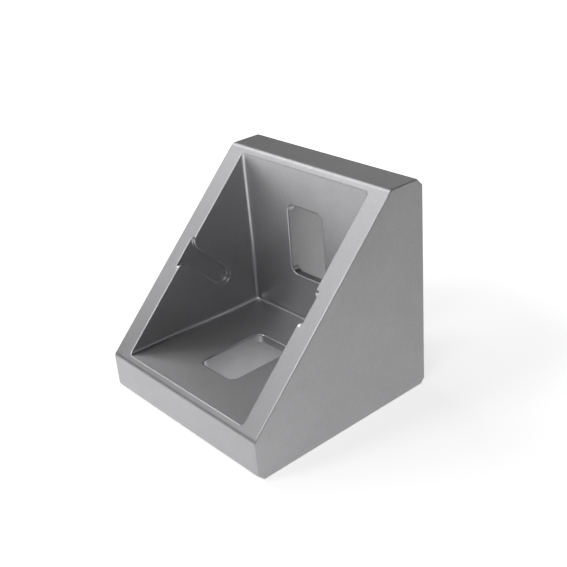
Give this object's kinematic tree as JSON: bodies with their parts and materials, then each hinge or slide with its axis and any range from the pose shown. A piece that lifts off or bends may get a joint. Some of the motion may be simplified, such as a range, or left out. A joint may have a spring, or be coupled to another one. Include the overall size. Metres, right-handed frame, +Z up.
{
  "type": "corner bracket",
  "caption": "Closed die-cast corner bracket that screws two slotted framing profiles together at a right angle, with a slot in each plate and an open sloped front for the screws.",
  "frame": {"origin": "corner where the planes of the two contact faces meet, halfway across the width", "axes": "+X across the width, +Z up the back plate, base plate from the corner towards -Y"},
  "size_m": [0.043, 0.042, 0.042],
  "materials": {
    "cast_aluminium": "fine matt casting, tumbled and blasted"
  },
  "bodies": {
    "root": {"corner_bracket": "cast_aluminium"}
  },
  "joints": []
}
